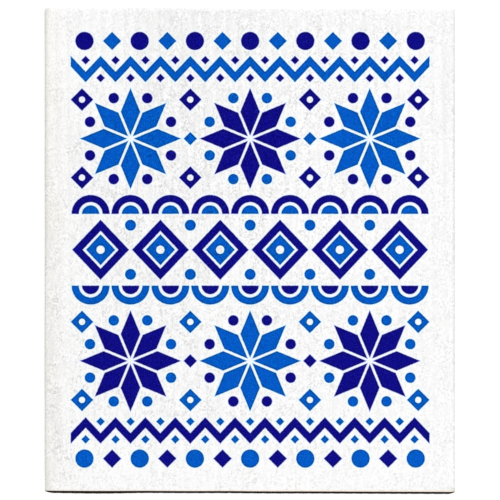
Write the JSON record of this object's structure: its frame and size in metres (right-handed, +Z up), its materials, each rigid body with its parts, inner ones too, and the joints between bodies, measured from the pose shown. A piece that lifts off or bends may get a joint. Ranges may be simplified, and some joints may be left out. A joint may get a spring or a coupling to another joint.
{
  "type": "sponge cloth",
  "caption": "Flat rectangular sponge cloth of soft cellulose with fine ribs on top, printed with rows of stars, arches, zigzags and diamonds in two blues.",
  "frame": {"origin": "middle of the flat underside, which lies at Z = 0", "axes": "+Z up through the thickness, +Y along the length and the ribs to the end at the picture's top, +X across the width to the picture's right"},
  "size_m": [0.17, 0.2, 0.002],
  "materials": {
    "cellulose_sheet": "matt white cellulose sponge sheet, printed in light and dark blue"
  },
  "bodies": {
    "root": {"sponge_cloth": "cellulose_sheet"}
  },
  "joints": []
}
